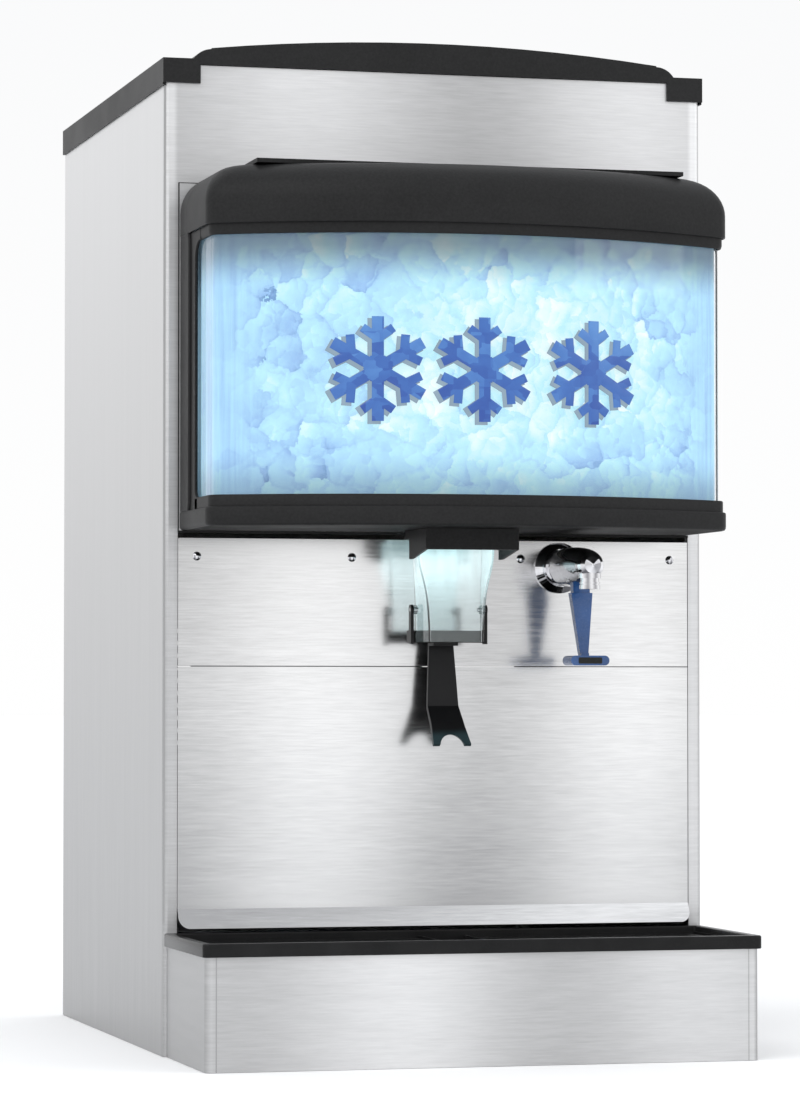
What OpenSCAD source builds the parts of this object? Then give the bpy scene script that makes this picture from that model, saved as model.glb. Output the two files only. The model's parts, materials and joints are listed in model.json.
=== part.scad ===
// Countertop ice and water dispenser.
// X runs across the front, Y from the front to the back, Z up from the counter.
// Modules are written with y = 0 on the front face of the cabinet; at_front() moves
// them so that the origin is under the centre of the whole machine.

/* [Cabinet] */
// Width of the cabinet
cab_w = 559; // [480:1:700]
// Depth of the cabinet without the drip tray and the lit display
cab_d = 558; // [500:1:640]
// Height of the stainless front, up to the lid
cab_h = 982.7; // [900:0.1:1100]
// Thickness of the stainless sheet
sheet = 1.2; // [0.8:0.1:2]
// Width of each front post
post_w = 13.5; // [10:0.5:20]
// Outer radius of the folded front corners
post_r = 4.5; // [3:0.5:8]
// Height of the seam between the two splash panels
seam_z = 385; // [350:1:420]

/* [Lid] */
// How far the lid skirt overhangs each side
lid_over = 2.5; // [1:0.5:5]
// Height of the bottom edge of the skirt
skirt_z = 962.2; // [950:0.1:975]
// Height of the flat rim of the lid
rim_z = 989; // [985:0.5:995]
// Height of the crown of the lid
crown_z = 1013.5; // [1000:0.5:1030]
// Wall of the moulded lid
lid_t = 2; // [1.5:0.5:4]

/* [Lit display] */
// Half width of the display housing
disp_hw = 264.5; // [240:0.5:270]
// Where the window's sides start, in front of the cabinet
window_y = -60; // [-80:1:-50]
// Depth of the housing at its corners
disp_side = 130; // [100:1:160]
// Depth of the housing at its centre
disp_mid = 203; // [160:1:240]
// Height of the bottom of the lower bezel
disp_z0 = 519; // [510:1:530]
// Height of the bottom edge of the hood
hood_z0 = 810; // [790:1:830]
// Height of the flat top of the hood
hood_z1 = 870.5; // [850:0.5:890]
// Wall of the moulded housing parts
disp_t = 3; // [2:0.5:4]

/* [Ice chute and lever] */
// Sideways position of the ice shroud
shroud_x = 3; // [-10:0.5:10]
// Sideways position of the clear ice chute
chute_x = -1; // [-10:0.5:10]
// Sideways position of the ice lever
lever_x = -2; // [-10:0.5:10]
// Height of the lever pivot
pivot_z = 441; // [430:1:450]
// Radius of the lever pins
pin_r = 2; // [1.5:0.1:3]

/* [Water tap] */
// Sideways position of the tap
tap_x = 128; // [100:1:160]
// Height of the tap axis
tap_z = 484.8; // [470:0.1:500]
// Distance of the nozzle from the splash panel
nozzle_y = 105; // [90:1:120]

/* [Drip tray] */
// Depth of the tray in front of the cabinet
tray_d = 185.2; // [150:0.1:220]
// Height of the top of the tray rim
tray_z1 = 121.7; // [100:0.1:140]
// Height of the bottom of the tray rim
tray_z0 = 108.8; // [95:0.1:130]
// Number of slots in each cup rest
slots = 13; // [6:1:20]

/* [Feet] */
// Distance between leg holes, side to side
leg_dx = 480; // [400:1:520]
// Distance between leg holes, front to back
leg_dy = 460; // [400:1:500]

/* [Hidden] */
$fn = 64;

hw = cab_w / 2;
ox = hw - post_w;             // half width of the opening between the posts
fit_d = 12;                   // how far the water inlet stands out at the back
yf = disp_mid - (disp_mid + cab_d + fit_d) / 2; // y of the cabinet's front face
bow_r = (disp_hw * disp_hw + pow(disp_mid - disp_side, 2)) / (2 * (disp_mid - disp_side));
bow_c = bow_r - disp_mid;     // y of the centre of the display's bow

module at_front() translate([0, yf, 0]) children();

// Box given by its low and high corners.
module box(a, b) translate(a) cube([b[0] - a[0], b[1] - a[1], b[2] - a[2]]);

// Bar along each axis.
module rod_x(p, r, l) translate(p) rotate([0, 90, 0]) cylinder(r = r, h = l);
module rod_y(p, r, l) translate(p) rotate([-90, 0, 0]) cylinder(r = r, h = l);
module rod_z(p, r, l) translate(p) cylinder(r = r, h = l);

// Outline in X-Z pushed back from y0 to y1.
module push(y0, y1) translate([0, y1, 0]) rotate([90, 0, 0]) linear_extrude(y1 - y0) children();

// Outline in Y-Z pushed sideways from x0 to x1.
module side(x0, x1) translate([x0, 0, 0]) rotate([90, 0, 90]) linear_extrude(x1 - x0) children();

// Rectangle with all four corners rounded.
module round_rect(x0, y0, x1, y1, r) {
  translate([x0 + r, y0]) square([x1 - x0 - 2 * r, y1 - y0]);
  translate([x0, y0 + r]) square([x1 - x0, y1 - y0 - 2 * r]);
  for (x = [x0 + r, x1 - r], y = [y0 + r, y1 - r]) translate([x, y]) circle(r);
}

// ---- cabinet ----

module base_pan() color([0.62, 0.63, 0.64]) at_front() difference() {
  box([-hw + 1.6, 12, 0], [hw - 1.6, cab_d - 3, 26]);
  box([-hw + 3.1, 13.5, 1.5], [hw - 3.1, cab_d - 4.5, 30]);
  for (x = [-1, 1], y = [-1, 1])
    rod_z([x * leg_dx / 2, cab_d / 2 + y * leg_dy / 2, -1], 5.5, 4);
  rod_z([180, 300, -1], 30, 4);
}

module leg_nuts() color([0.75, 0.75, 0.72]) at_front()
  for (x = [-1, 1], y = [-1, 1]) translate([x * leg_dx / 2, cab_d / 2 + y * leg_dy / 2, 1.5])
    difference() {
      cylinder(r = 9.8, h = 9, $fn = 6);
      translate([0, 0, -1]) cylinder(r = 4.5, h = 12);
    }

// Side sheet with flanges folded in at the front, back and top.
module side_sheet() difference() {
  union() {
    box([hw - sheet, 7, 0], [hw, cab_d, 973]);
    box([hw - 14, 7, 130], [hw - sheet, 7 + sheet, 973]);
    box([hw - 16, cab_d - 2.4, 0], [hw - sheet, cab_d - 1.2, 973]);
    box([hw - 16, 8.2, 971.8], [hw - sheet, cab_d - 2.4, 973]);
  }
  for (z = rear_z) rod_y([hw - 9, cab_d - 5, z], 2.05, 6);
}

module right_side_panel() color([0.76, 0.77, 0.78]) at_front() side_sheet();
module left_side_panel() color([0.76, 0.77, 0.78]) at_front() mirror([1, 0, 0]) side_sheet();

module rear_panel() color([0.7, 0.71, 0.72]) at_front() difference() {
  box([-hw + 1.6, cab_d - 1.2, 4], [hw - 1.6, cab_d, 971]);
  for (x = [-190, 190], i = [0 : 9])
    box([x - 55, cab_d - 3, 300 + 14 * i], [x + 55, cab_d + 1, 305 + 14 * i]);
  rod_y([tap_x, cab_d - 3, tap_z], 8.4, 6);
  box([-194.5, cab_d - 3, 69.5], [-165.5, cab_d + 1, 90.5]);
  for (p = rear_holes()) rod_y([p[0], cab_d - 3, p[1]], 2.4, 6);
}

rear_z = [40, 340, 640, 940];
function rear_holes() = [for (x = [-1, 1], z = rear_z) [x * (hw - 9), z]];

module rear_screws() color([0.82, 0.82, 0.82]) at_front()
  for (p = rear_holes()) {
    rod_y([p[0], cab_d, p[1]], 4.2, 2);
    rod_y([p[0], cab_d - 8, p[1]], 2.05, 8.5);
  }

// Folded corner post seen from above.
module post_outline(x0, x1, y0, y1, r) {
  translate([x0, y0]) square([x1 - r - x0, y1 - y0]);
  translate([x0, y0 + r]) square([x1 - x0, y1 - y0 - r]);
  intersection() {
    translate([x1 - r, y0 + r]) circle(r);
    translate([x0, y0]) square([x1 - x0, y1 - y0]);
  }
}

module post() linear_extrude(cab_h) difference() {
  post_outline(ox, hw, 0, 6.2, post_r);
  post_outline(ox + sheet, hw - sheet, sheet, 9, post_r - sheet);
}

module front_frame() color([0.8, 0.81, 0.82]) at_front() {
  post();
  mirror([1, 0, 0]) post();
  box([-hw + post_r, 0, 846], [hw - post_r, sheet, cab_h]);
  box([-ox, sheet - 0.2, cab_h - sheet], [ox, 24, cab_h]);
  box([-ox, 0, 12], [ox, sheet, 118]);
}

module top_frame() color([0.8, 0.81, 0.82]) at_front() difference() {
  box([-hw + 2, 25, 973], [hw - 2, cab_d - 2.6, 974.5]);
  box([-234, 34, 970], [234, 436, 980]);
}

module splash_holes() for (x = [-246.5, -88, 88, 246.5])
  rod_y([x, -3, 494], 2.4, 12);

module upper_splash_panel() color([0.82, 0.83, 0.84]) at_front() difference() {
  union() {
    box([-ox + 0.6, 0.4, seam_z + 0.5], [ox - 0.6, 0.4 + sheet, 512]);
    box([-ox + 0.6, 1, 510.8], [ox - 0.6, 16, 512]);
    box([-ox + 0.6, 1, seam_z + 0.5], [ox - 0.6, 12, seam_z + 1.7]);
  }
  splash_holes();
  rod_y([tap_x, -3, tap_z], 11.3, 8);
  rod_y([lever_x, -3, pivot_z - 23], 3, 8);
}

// Flat down to the bend, then a lip that sheds drips forward into the tray.
module lower_splash_panel() color([0.82, 0.83, 0.84]) at_front() difference() {
  side(-ox + 0.6, ox - 0.6) polygon([[0.4, seam_z - 0.4], [0.4, 145], [-10.93, 126.1],
    [-9.9, 125.5], [1.6, 144.65], [1.6, seam_z - 1.6], [14, seam_z - 1.6], [14, seam_z - 0.4]]);
  for (m = [0, 1]) mirror([m, 0, 0]) push(-30, 30) difference() {
    translate([ox - 11.6, 120]) square([20, 17]);
    translate([ox - 11.6, 137]) circle(r = 11);
  }
}

module splash_screws() color([0.9, 0.9, 0.9]) at_front()
  for (x = [-246.5, -88, 88, 246.5]) translate([x, 0.4, 494]) {
    intersection() {
      translate([0, 2.6, 0]) sphere(r = 5.2);
      rod_y([0, -2.6, 0], 4.4, 2.6);
    }
    rod_y([0, -0.1, 0], 2.05, 12);
  }

// ---- lid and ice bin ----

// Front outline of the crown, inset by t.
module crown(t) {
  rr = 2016;
  intersection() {
    translate([0, crown_z - rr]) circle(r = rr - t, $fn = 720);
    union() {
      translate([-232.5, 970]) square([465, 60]);
      for (x = [-232.5, 232.5]) translate([x, 977]) circle(r = 22 - t);
    }
    translate([-260, rim_z - 3 + (t > 0 ? -2 : 0)]) square([520, 60]);
  }
}

module hopper_lid() color([0.16, 0.16, 0.16]) at_front() {
  x1 = hw + lid_over;
  difference() {
    union() {
      box([-x1, -3, skirt_z], [x1, cab_d + 1.6, rim_z]);
      push(-3, 545) crown(0);
    }
    box([-x1 + lid_t, -0.5, skirt_z - 1], [x1 - lid_t, cab_d + 0.4, rim_z - 3]);
    push(-0.5, 542) crown(3);
    box([-244, -5, skirt_z - 1], [244, 0, cab_h + 0.5]);
    for (x = [-x1 - 1, 244]) box([x, -5, skirt_z - 1], [x + x1 - 243, -0.4, 964.4]);
  }
  for (x = [-262, 250], y = [60, 470])
    box([x, y, 974.5], [x + 12, y + 20, rim_z - 2]);
}

module hopper_liner() color([0.93, 0.94, 0.95]) at_front() difference() {
  union() {
    box([-232, 36, 560], [232, 434, 975]);
    box([-246, 28, 974.5], [246, 446, 977.5]);
  }
  box([-229, 39, 563], [229, 431, 980]);
  box([-42, 30, 572], [42, 45, 640]);
  rod_y([0, 425, 680], 6.08, 20);
  rod_z([180, 300, 550], 9.1, 20);
}

module hopper_insulation() color([0.95, 0.93, 0.82]) at_front() difference() {
  box([-264, 10, 525], [264, 456, 970]);
  box([-232.2, 35.8, 559.8], [232.2, 434.2, 975]);
  box([-57, 8, 548], [57, 38, 830]);
  box([-151, 79, 532], [151, 401, 562]);
  rod_y([0, 430, 680], 14, 40);
  rod_z([180, 300, 520], 9.6, 60);
  for (y = [180, 300]) rod_z([tap_x, y, 520], 6, 20);
}

module cold_plate() color([0.78, 0.79, 0.8]) at_front() difference() {
  box([-150, 80, 532], [150, 400, 560]);
  for (y = [180, 300]) rod_z([tap_x, y, 530], 5, 12);
}

// ---- agitator drive and gate ----

module gearmotor() color([0.35, 0.36, 0.38]) at_front() difference() {
  union() {
    box([-48, 464, 630], [48, 500, 740]);
    rod_y([20, 500, 690], 38, 50);
    rod_y([0, 458, 680], 13, 8);
  }
  rod_y([0, 450, 680], 6.05, 44);
}

module motor_bracket() color([0.7, 0.71, 0.72]) at_front() difference() {
  union() {
    box([-70, 461.2, 610], [70, 464, 760]);
    box([-70, 456, 610], [70, 462, 613]);
    box([-70, 456, 757], [70, 462, 760]);
  }
  rod_y([0, 455, 680], 13.3, 12);
}

module agitator_shaft() color([0.8, 0.8, 0.8]) at_front()
  rod_y([0, 60, 680], 6, 430);

module agitator_arms() color([0.85, 0.85, 0.86]) at_front() difference() {
  union() for (i = [0 : 3]) translate([0, 95 + 90 * i, 680]) {
    rod_y([0, -12, 0], 12, 24);
    rotate([0, 45 * i, 0]) rod_x([-96, 0, 0], 5, 192);
  }
  rod_y([0, 50, 680], 6, 420);
}

module ice_gate() color([0.8, 0.81, 0.82]) at_front() {
  box([-49, 20, 566.5], [49, 22.5, 646]);
  box([-14, 20, 646], [14, 22.5, 668]);
  box([-14, 15, 665], [14, 28, 668]);
}

module gate_plunger() color([0.75, 0.75, 0.76]) at_front() rod_z([0, 21.5, 668], 6, 76);

module gate_solenoid() color([0.25, 0.25, 0.27]) at_front() difference() {
  box([-20, 10.5, 722], [20, 35, 826]);
  rod_z([0, 21.5, 720], 6.06, 86);
}

module bin_drain_tube() color([0.85, 0.87, 0.88]) at_front() difference() {
  union() {
    rod_z([180, 300, 12], 9, 551);
    rod_z([180, 300, 12], 10, 28);
  }
  rod_z([180, 300, 10], 6.5, 560);
}

// ---- lit display ----

// Plan of the display housing, inset by t.
module bow_plan(t, y1 = 0) intersection() {
  translate([-disp_hw + t, -disp_mid - 5]) square([2 * (disp_hw - t), disp_mid + 5 + y1]);
  translate([0, bow_c]) circle(r = bow_r - t, $fn = 360);
}

// Vertical wall that follows the sides and the bow.
module bow_wall(t0, t1, z0, z1, y1) translate([0, 0, z0]) linear_extrude(z1 - z0)
  difference() {
    bow_plan(t0, y1);
    bow_plan(t1, 0.5);
  }

module display_gasket() color([0.08, 0.08, 0.08]) at_front() difference() {
  box([-ox + 0.1, -1.6, 517], [ox - 0.1, -0.1, 865]);
  box([-ox + 6, -3, 523], [ox - 6, 1, 859]);
}

module display_back_pan() color([0.86, 0.87, 0.88]) at_front() difference() {
  union() {
    box([-ox + 0.8, -3, 519.2], [ox - 0.8, -1.8, 864]);
    for (x = [-253, 251.8]) box([x, -14, 524], [x + 1.2, -2, 845]);
  }
  box([-44.6, -5, 548], [44.6, 0, 650]);
}

// Hood side outline, seen from the front, inset by t.
module hood_front(t) {
  r = 42;
  translate([-disp_hw + t, 780]) square([2 * (disp_hw - t), hood_z1 - r - 780]);
  translate([-disp_hw + r, 780]) square([2 * (disp_hw - r), hood_z1 - 780 - t]);
  for (x = [-1, 1]) translate([x * (disp_hw - r), hood_z1 - r]) circle(r = r - t);
}

// Hood section across the bow, spun about the bow's centre, inset by t.
module hood_spin(t) translate([0, bow_c, 780]) rotate_extrude($fn = 360) {
  r = 36;
  square([bow_r - t, hood_z1 - 780 - r]);
  square([bow_r - r, hood_z1 - 780 - t]);
  translate([bow_r - r, hood_z1 - 780 - r]) circle(r = r - t);
}

module display_hood() color([0.17, 0.17, 0.17]) at_front() {
  difference() {
    intersection() {
      hood_spin(0);
      push(-disp_mid - 10, -3) hood_front(0);
      box([-300, -300, hood_z0], [300, 0, 900]);
    }
    intersection() {
      hood_spin(disp_t);
      push(-disp_mid - 10, 2) hood_front(disp_t);
      box([-300, -300, hood_z0 - 2], [300, 5, 900]);
    }
  }
  bow_wall(4, 6.2, 799.5, 812, window_y);
  bow_wall(2.8, 6.2, 811.8, 815, window_y);
}

module hood_cover() color([0.15, 0.15, 0.15]) at_front()
  box([-216.5, -135, hood_z1], [216.5, -6, hood_z1 + 4]);

module display_bezel() color([0.17, 0.17, 0.17]) at_front() difference() {
  union() {
    bow_wall(0, disp_t, disp_z0, 537.5, -3);
    bow_wall(disp_t - 0.2, 6, 534.5, 549, window_y);
    bow_wall(5.8, 12, 538, 541, window_y - 2);
    translate([0, 0, disp_z0]) linear_extrude(disp_t) bow_plan(0.5, -3);
  }
  box([-42, -79, 510], [41, -45, 530]);
}

module side_trim() {
  box([disp_hw - 6, -40, 537.5], [disp_hw, -3, hood_z0]);
  box([disp_hw - 6, window_y, 537.5], [disp_hw - 3.2, -40, hood_z0]);
}

module right_side_trim() color([0.17, 0.17, 0.17]) at_front() side_trim();
module left_side_trim() color([0.17, 0.17, 0.17]) at_front() mirror([1, 0, 0]) side_trim();

module display_lens() color([0.75, 0.88, 0.98, 0.4]) at_front()
  bow_wall(6.4, 9.4, 541, 806, window_y - 2);

module ice_graphic() color([0.6, 0.83, 0.97]) at_front()
  bow_wall(9.7, 10.5, 541, 806, window_y - 2);

// Six-armed ice crystal.
module crystal(r) {
  for (a = [30 : 60 : 150]) rotate(a) square([2 * r, 11], center = true);
  for (a = [30 : 60 : 330]) rotate(a) translate([r * 0.58, 0])
    for (b = [-55, 55]) rotate(b) translate([0, -4]) square([r * 0.36, 8]);
  circle(r = r * 0.27, $fn = 6);
}

module ice_emblems() color([0.25, 0.46, 0.8]) at_front() intersection() {
  push(-260, -150) for (x = [-110, -6, 108]) translate([x, 669]) crystal(50);
  translate([0, bow_c, 600]) difference() {
    cylinder(r = bow_r - 5.6, h = 140, $fn = 360);
    translate([0, 0, -1]) cylinder(r = bow_r - 6.4, h = 142, $fn = 360);
  }
}

module lamp_tube() color([0.97, 0.98, 1]) at_front() rod_x([-205, -60, 770], 8, 410);

module lamp_holders() color([0.9, 0.9, 0.9]) at_front() difference() {
  for (x = [-218, 200]) box([x, -72, 756], [x + 18, -3, 784]);
  rod_x([-205, -60, 770], 8, 410);
}

// ---- ice path ----

// Passage from the bin to the chute, with the two guides that the gate runs in.
module ice_throat() color([0.2, 0.2, 0.21]) at_front() difference() {
  union() {
    box([-44, -82, 522], [44, -42, 640]);
    box([-44, -50, 552], [44, 18.4, 640]);
    for (x = [-55.5, 43]) box([x, 14, 548], [x + 12.5, 24.2, 705]);
  }
  box([-41, -79, 520], [41, -45, 637]);
  box([-41, -60, 560], [41, 20, 637]);
  box([-49.2, 19.92, 566.4], [49.2, 22.58, 710]);
}

module ice_shroud() color([0.16, 0.16, 0.16]) at_front() translate([shroud_x, 0, 0])
  difference() {
    side(-47.3, 47.3) polygon([[-122, 519], [-122, 498.8], [-68, 490.8],
      [-58, 490.8], [-58, 511], [-42, 511], [-42, 519]]);
    side(-44.8, 44.8) polygon([[-119.5, 516.3], [-119.5, 480], [-41, 480], [-41, 516.3]]);
    box([-41 - shroud_x, -78, 515], [39.5 - shroud_x, -45, 530]);
  }

// Half width of the clear chute's front wall at height z.
function chute_w(z) = 28.2 + 12.2 * pow(max(0, min(1, (z - 409) / 97)), 2.2);

module chute_slab(z, t) translate([chute_x, 0, z]) linear_extrude(0.02)
  polygon([[-chute_w(z) + t, -78 + t], [chute_w(z) - t, -78 + t],
    [35 - t, -44 - t], [-35 + t, -44 - t]]);

module ice_chute() color([0.8, 0.95, 0.98, 0.35]) at_front() difference() {
  union() {
    for (s = [[409, 448], [448, 478], [478, 516.26]])
      hull() { chute_slab(s[0], 0); chute_slab(s[1], 0); }
    rod_x([lever_x - 36.2, -50, pivot_z], 4.4, 4);
    rod_x([lever_x + 32.2, -50, pivot_z], 4.4, 4);
  }
  for (s = [[405, 448], [448, 478], [478, 520]])
    hull() { chute_slab(s[0], 2.4); chute_slab(s[1], 2.4); }
  box([-50, -50, 400], [50, -40, 424]);
  rod_x([-60, -50, pivot_z], pin_r, 120);
}

module lever_pins() color([0.75, 0.75, 0.76]) at_front()
  for (x = [-1, 1]) rod_x([lever_x + (x > 0 ? 30 : -39.4), -50, pivot_z], pin_r, 9.4);

module ice_lever() color([0.1, 0.1, 0.1]) at_front() translate([lever_x, 0, 0]) {
  // Two ears on the pins and the yoke that joins them under the chute.
  difference() {
    for (x = [-39.4, 36.4]) side(x, x + 3) {
      translate([-54, 407]) square([8, 34]);
      translate([-50, pivot_z]) circle(r = 5);
    }
    rod_x([-45, -50, pivot_z], pin_r + 0.05, 90);
  }
  box([-39.4, -41, 408.5], [39.4, -38, 420.5]);
  for (x = [-39.4, 36.4]) box([x, -50, 408.5], [x + 3, -39, 420.5]);
  // Paddle, bent forward at the foot and forked.
  intersection() {
    side(-60, 60) polygon([[-41, 420], [-41, 405.5], [-24, 405.5], [-30.5, 345.5], [-47, 329.5],
      [-66, 308], [-63.5, 305.8], [-44, 325.5], [-26.5, 343], [-19.4, 408.5], [-38, 408.5],
      [-38, 420]]);
    push(-80, 0) difference() {
      polygon([[-12.7, 421], [-12.7, 405], [-16, 346], [-17, 326], [-19.8, 304],
        [19.8, 304], [17, 326], [16, 346], [12.7, 405], [12.7, 421]]);
      translate([0, 304.5]) circle(r = 12.6);
    }
  }
}

module switch_plunger() color([0.85, 0.85, 0.83]) at_front()
  rod_y([lever_x, -37.2, pivot_z - 23], 2.5, 53);

module lever_switch() color([0.15, 0.16, 0.2]) at_front() difference() {
  box([lever_x - 12, 1.6, pivot_z - 38], [lever_x + 12, 38, pivot_z - 14]);
  rod_y([lever_x, 1, pivot_z - 23], 2.56, 25);
}

// ---- water tap ----

module tap_collar() color([0.9, 0.9, 0.92]) at_front() translate([tap_x, 0.4, tap_z])
  rotate([90, 0, 0]) difference() {
    union() {
      cylinder(r = 25.6, h = 3);
      translate([0, 0, 3]) cylinder(r1 = 25.6, r2 = 19, h = 7);
      translate([0, 0, 10]) cylinder(r = 15, h = 5);
    }
    translate([0, 0, -1]) cylinder(r = 11, h = 20);
  }

module tap_shank() color([0.85, 0.85, 0.86]) at_front() difference() {
  rod_y([tap_x, -17, tap_z], 11, 65);
  rod_y([tap_x, -20, tap_z], 5, 80);
}

module tap_nut() color([0.85, 0.8, 0.6]) at_front() translate([tap_x, 2, tap_z])
  rotate([-90, 0, 0]) difference() {
    cylinder(r = 17, h = 8, $fn = 6);
    translate([0, 0, -1]) cylinder(r = 11, h = 20);
  }

// Radius of the tap body at distance d from the splash panel.
function body_r(d) = d < 34 ? 19.6 - 0.02 * pow(d - 34, 2)
  : 8.5 + 11.1 * sqrt(max(0, 1 - pow((d - 34) / 82, 2.4)));

module tap_body() color([0.9, 0.9, 0.92]) at_front() difference() {
  union() {
    translate([tap_x, 0, tap_z]) rotate([90, 0, 0]) rotate_extrude() polygon(concat(
      [[0, 15.4]], [for (d = [15.4 : 4.42 : 116]) [body_r(d), d]], [[8.4, 116], [0, 118.5]]));
    rod_z([tap_x, -nozzle_y, tap_z - 13], 11.2, 13);
  }
  rod_z([tap_x, -nozzle_y, tap_z - 20], 9.2, 12);
  rod_z([tap_x, -nozzle_y, tap_z - 9], 5, 9);
  rod_y([tap_x, -nozzle_y, tap_z], 5, nozzle_y - 10);
  rod_y([tap_x, -17.1, tap_z], 11, 5);
  // Slot for the lever head and the hole for its pin.
  box([tap_x - 9, -86, tap_z - 30], [tap_x + 9, -58, tap_z - 8]);
  rod_x([tap_x - 30, -72, tap_z - 14], 2, 60);
}

module tap_nozzle() color([0.88, 0.88, 0.9]) at_front() difference() {
  union() {
    rod_z([tap_x, -nozzle_y, 462], 9.2, 14);
    rod_z([tap_x, -nozzle_y, 461], 10.4, 4);
    rod_z([tap_x, -nozzle_y, 466.2], 10.2, 1.8);
  }
  rod_z([tap_x, -nozzle_y, 455], 5, 30);
}

module tap_pin() color([0.8, 0.8, 0.8]) at_front() rod_x([tap_x - 13.5, -72, tap_z - 14], 2, 27);

// Tapered handle that leans forward to the push pad.
module tap_lever() color([0.16, 0.3, 0.6]) at_front() translate([tap_x, 0, 0]) {
  difference() {
    side(-8.6, 8.6) {
      translate([-72, tap_z - 14]) circle(r = 5.2);
      polygon([[-77.2, tap_z - 14], [-66.8, tap_z - 14], [-70, 452], [-79, 452]]);
    }
    rod_x([-20, -72, tap_z - 14], 2.05, 40);
  }
  intersection() {
    side(-20, 20) polygon([[-79.5, 458], [-69, 458], [-79, 397], [-87, 397]]);
    push(-100, -50) polygon([[-11, 458], [11, 458], [4.3, 397], [-4.3, 397]]);
  }
  box([-4.1, -90, 395.4], [4.1, -79.5, 398]);
}

module tap_pad() color([0.18, 0.33, 0.62]) at_front() translate([tap_x, 0, 0]) difference() {
  push(-107, -78) round_rect(-19.8, 385.6, 19.8, 395.4, 4.7);
  push(-108, -106.4) round_rect(-12, 387.5, 12, 393.5, 1);
}

module tap_pad_insert() color([0.05, 0.05, 0.05]) at_front() translate([tap_x, 0, 0])
  push(-107.7, -106.4) round_rect(-12, 387.5, 12, 393.5, 1);

// ---- water line ----

module elbow_tube(y0, y1, y2) {
  difference() {
    union() {
      rod_y([tap_x, y0, tap_z], 4.8, y1 - y0);
      rod_z([tap_x, y2, tap_z], 4.8, 543 - tap_z - 1.6);
      translate([tap_x, y2, tap_z]) sphere(r = 4.8);
    }
    rod_y([tap_x, min(y0, y2) - (y2 < y1 ? 0 : 5), tap_z], 3, y1 - min(y0, y2) + 5);
    rod_z([tap_x, y2, tap_z], 3, 70);
  }
}

module water_tube_rear() color([0.85, 0.55, 0.35]) at_front() elbow_tube(300, 540, 300);
module water_tube_front() color([0.85, 0.55, 0.35]) at_front() elbow_tube(34, 180, 180);

module water_inlet() color([0.8, 0.68, 0.35]) at_front() difference() {
  union() {
    rod_y([tap_x, cab_d - 22, tap_z], 8, fit_d + 22);
    rod_y([tap_x, cab_d, tap_z], 11, 3);
  }
  rod_y([tap_x, cab_d - 30, tap_z], 4.8, 14);
  rod_y([tap_x, cab_d - 30, tap_z], 4, 60);
}

module control_box() color([0.72, 0.73, 0.74]) at_front() difference() {
  box([-225, 60, 1.5], [-75, 200, 112]);
  box([-223.5, 61.5, 3], [-76.5, 198.5, 110.5]);
  box([-200, 190, 60], [-160, 205, 90]);
}

module power_inlet() color([0.1, 0.1, 0.1]) at_front() difference() {
  union() {
    box([-200, cab_d, 64], [-160, cab_d + 3, 96]);
    box([-194, cab_d - 22, 70], [-166, cab_d + 1, 90]);
  }
  box([-191, cab_d - 14, 73], [-169, cab_d + 5, 87]);
}

// ---- drip tray ----

module tray_body() color([0.8, 0.81, 0.82]) at_front() linear_extrude(tray_z0)
  difference() {
    round_rect(-hw + 3.2, -tray_d + 3, hw - 3.2, 20, 5.5);
    round_rect(-hw + 4.4, -tray_d + 4.2, hw - 4.4, 19, 4.3);
    translate([-300, -0.6]) square([600, 40]);
    translate([-250, -30]) square([500, 60]);
  }

module tray_pan() color([0.07, 0.07, 0.07]) at_front() difference() {
  union() {
    box([-hw + 0.3, -tray_d, tray_z0], [hw - 0.3, -1, tray_z1 - 1.4]);
    translate([0, 0, tray_z1 - 1.5]) linear_extrude(1.5)
      translate([0, -tray_d]) square([cab_w - 3, 2 * tray_d - 4], center = true);
    box([-268, -tray_d + 12, 76], [268, -6, tray_z0 + 1]);
    rod_z([0, -95, 52], 9.5, 26);
  }
  translate([0, 0, tray_z1 - 2]) linear_extrude(4) difference() {
    translate([-400, -2 * tray_d - 50]) square([800, tray_d + 48]);
    translate([-400, -tray_d + 0.8]) square([800, 400]);
  }
  box([-400, -1, 60], [400, 400, 200]);
  box([-hw + 10, -tray_d + 10, tray_z0 + 0.6], [hw - 10, -9, tray_z1 + 3]);
  box([-265, -tray_d + 15, 79], [265, -9, tray_z0 + 3]);
  rod_z([0, -95, 40], 7, 60);
}

module cup_rest(s) color([0.06, 0.06, 0.06]) at_front() difference() {
  x0 = s > 0 ? 22 : -268;
  x1 = s > 0 ? 268 : -22;
  union() {
    translate([0, 0, tray_z0 + 0.6]) linear_extrude(5) round_rect(x0, -tray_d + 11.5, x1, -12, 10);
    translate([0, 0, 114]) linear_extrude(2.6) difference() {
      round_rect(x0, -tray_d + 11.5, x1, -12, 10);
      round_rect(x0 + 2.5, -tray_d + 14, x1 - 2.5, -14.5, 7.5);
    }
  }
  for (i = [0 : slots - 1]) {
    y = -tray_d + 24 + i * (tray_d - 47) / (slots - 1);
    for (h = [0, 1]) box([x0 + 14 + h * 112, y - 3, 105], [x0 + 120 + h * 112, y + 3, 120]);
  }
}

module left_cup_rest() cup_rest(-1);
module right_cup_rest() cup_rest(1);

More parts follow.
